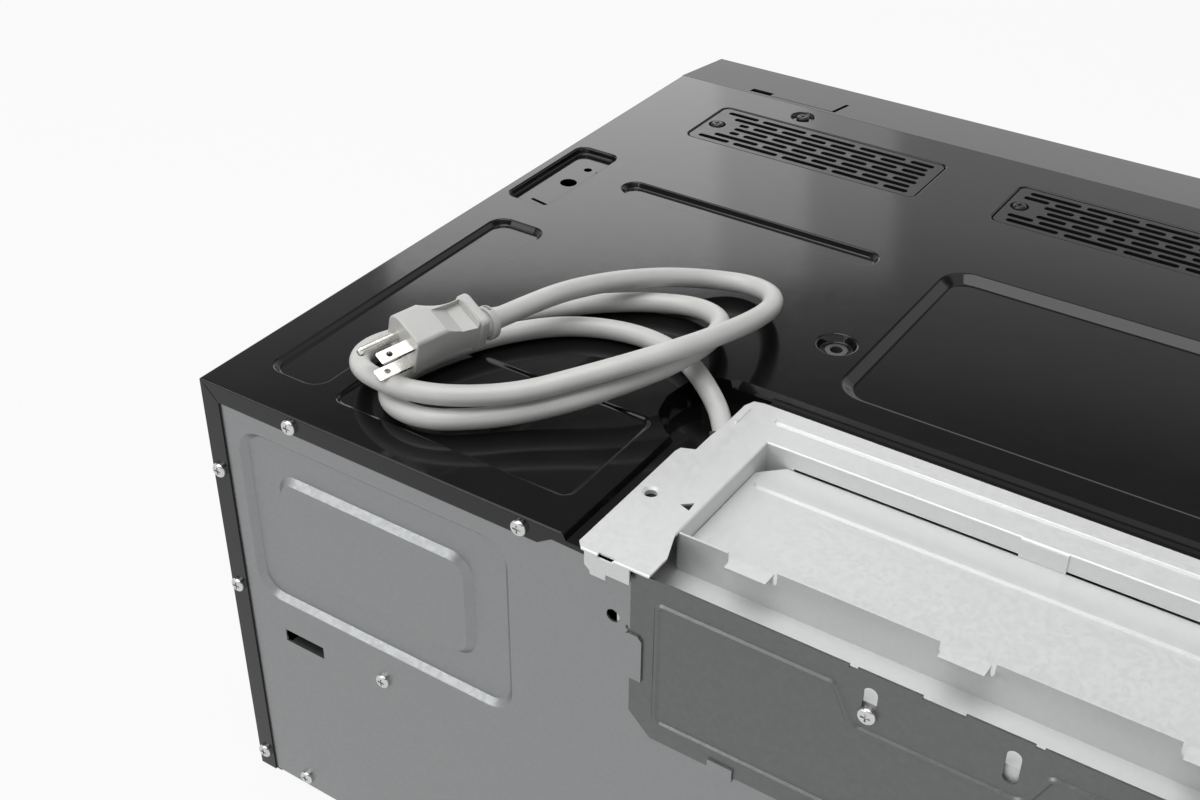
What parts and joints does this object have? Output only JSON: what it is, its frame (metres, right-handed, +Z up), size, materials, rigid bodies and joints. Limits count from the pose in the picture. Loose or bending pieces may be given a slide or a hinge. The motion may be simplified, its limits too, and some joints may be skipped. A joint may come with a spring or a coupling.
{
  "type": "over-the-range microwave oven",
  "caption": "Low-profile over-the-range microwave: hinged door, control panel, stamped top with vents, rear blower duct, turntable, grease filters, and a looped cord with its plug.",
  "frame": {"origin": "middle of the footprint at the underside of the cabinet, the cord and plug left out", "axes": "+X to the right seen from the front, where the control panel is; +Y to the back; +Z up; the door faces -Y"},
  "size_m": [0.76, 0.5346, 0.3049],
  "materials": {
    "black_paint": "gloss",
    "galvanised_steel": "satin",
    "dark_steel": "satin",
    "bright_steel": "satin",
    "black_grille": "satin",
    "oven_enamel": "gloss",
    "aluminium_part": "satin",
    "winding": "gloss",
    "mica": "matte",
    "circuit_board": "matte",
    "dark_plastic": "matte",
    "white_plastic": "matte",
    "gloss_black_plastic": "gloss",
    "tray_glass": "clear",
    "door_glass": "tinted",
    "lens_glass": "frosted",
    "plated_screw": "polished",
    "handle_metal": "gloss",
    "cord_sheath": "satin",
    "plug_plastic": "satin",
    "plug_brass": "polished",
    "bushing_plastic": "matte",
    "lamp_glass": "clear"
  },
  "bodies": {
    "cabinet": {"outer_wrap": "black_paint", "rear_panel": "galvanised_steel", "base_pan": "black_paint", "front_frame": "black_paint", "top_trim": "gloss_black_plastic", "blower_top_plate": "bright_steel", "duct_rear_wall": "bright_steel", "blower_housing": "bright_steel", "duct_floor": "bright_steel", "rear_cover_plate": "dark_steel", "blower_motor": "dark_steel", "exhaust_duct": "galvanised_steel", "mount_sockets": "bright_steel", "oven_cavity": "oven_enamel", "waveguide": "galvanised_steel", "waveguide_cover": "mica", "magnetron": "aluminium_part", "hv_transformer": "dark_steel", "transformer_coils": "winding", "hv_capacitor": "aluminium_part", "control_board": "circuit_board", "fan_shroud": "galvanised_steel", "cooling_fan_motor": "dark_steel", "turntable_motor": "galvanised_steel", "cavity_lamp": "lamp_glass", "hinge_brackets": "black_paint", "hinge_pins": "plated_screw", "interlock_bracket": "white_plastic", "interlock_switches": "dark_plastic", "control_panel": "gloss_black_plastic", "display_window": "door_glass", "keypad": "dark_plastic", "lamp_lenses": "lens_glass", "rear_screws": "plated_screw", "top_screws": "plated_screw", "power_cord": "cord_sheath", "plug_body": "plug_plastic", "plug_pins": "plug_brass", "cord_bushing": "bushing_plastic", "vent_grille_left": "black_grille", "vent_grille_centre": "black_grille", "vent_grille_right": "black_grille"},
    "door": {"door_frame": "dark_plastic", "door_choke_panel": "black_paint", "door_screen": "dark_steel", "door_glass": "door_glass", "door_handle": "handle_metal"},
    "latch": {"latch_hooks": "white_plastic"},
    "turntable": {"turntable_coupler": "white_plastic", "glass_tray": "tray_glass"},
    "roller": {"roller_ring": "white_plastic", "roller_wheels": "white_plastic"},
    "cooling_fan": {"cooling_fan_blade": "white_plastic"},
    "blower_rotor": {"blower_shaft": "bright_steel", "blower_wheel_left": "bright_steel", "blower_wheel_right": "bright_steel"},
    "start_button": {"start_key": "gloss_black_plastic"},
    "stop_button": {"stop_key": "gloss_black_plastic"},
    "filter_left": {"grease_filter_left": "aluminium_part"},
    "filter_right": {"grease_filter_right": "aluminium_part"}
  },
  "joints": [
    {"name": "door_hinge", "type": "hinge", "parent": "cabinet", "child": "door", "pos_m": [-0.374, -0.22125, 0.12], "axis": [0, 0, -1], "range_deg": [0, 110]},
    {"name": "latch_lift", "type": "slide", "parent": "door", "child": "latch", "axis": [0, 0, 1], "range_m": [0, 0.004], "stiffness_N_per_m": 150, "springref_m": -0.004},
    {"name": "turntable_spin", "type": "hinge", "parent": "cabinet", "child": "turntable", "pos_m": [-0.11, -0.03175, 0.04], "axis": [0, 0, 1], "continuous": true},
    {"name": "roller_spin", "type": "hinge", "parent": "cabinet", "child": "roller", "pos_m": [-0.11, -0.03175, 0.037], "axis": [0, 0, 1], "continuous": true},
    {"name": "cooling_fan_spin", "type": "hinge", "parent": "cabinet", "child": "cooling_fan", "pos_m": [0.27, 0.10425, 0.092], "axis": [0, 1, 0], "continuous": true},
    {"name": "blower_spin", "type": "hinge", "parent": "cabinet", "child": "blower_rotor", "pos_m": [0, 0.20025, 0.2035], "axis": [1, 0, 0], "continuous": true},
    {"name": "start_press", "type": "slide", "parent": "cabinet", "child": "start_button", "axis": [0, 1, 0], "range_m": [0, 0.0015], "stiffness_N_per_m": 300, "springref_m": -0.002},
    {"name": "stop_press", "type": "slide", "parent": "cabinet", "child": "stop_button", "axis": [0, 1, 0], "range_m": [0, 0.0015], "stiffness_N_per_m": 300, "springref_m": -0.002},
    {"name": "filter_left_drop", "type": "slide", "parent": "cabinet", "child": "filter_left", "axis": [0, 0, -1], "range_m": [0, 0.03]},
    {"name": "filter_right_drop", "type": "slide", "parent": "cabinet", "child": "filter_right", "axis": [0, 0, -1], "range_m": [0, 0.03]}
  ],
  "couplings": [
    {"joint": "roller_spin", "follows": "turntable_spin", "ratio": 0.5}
  ]
}
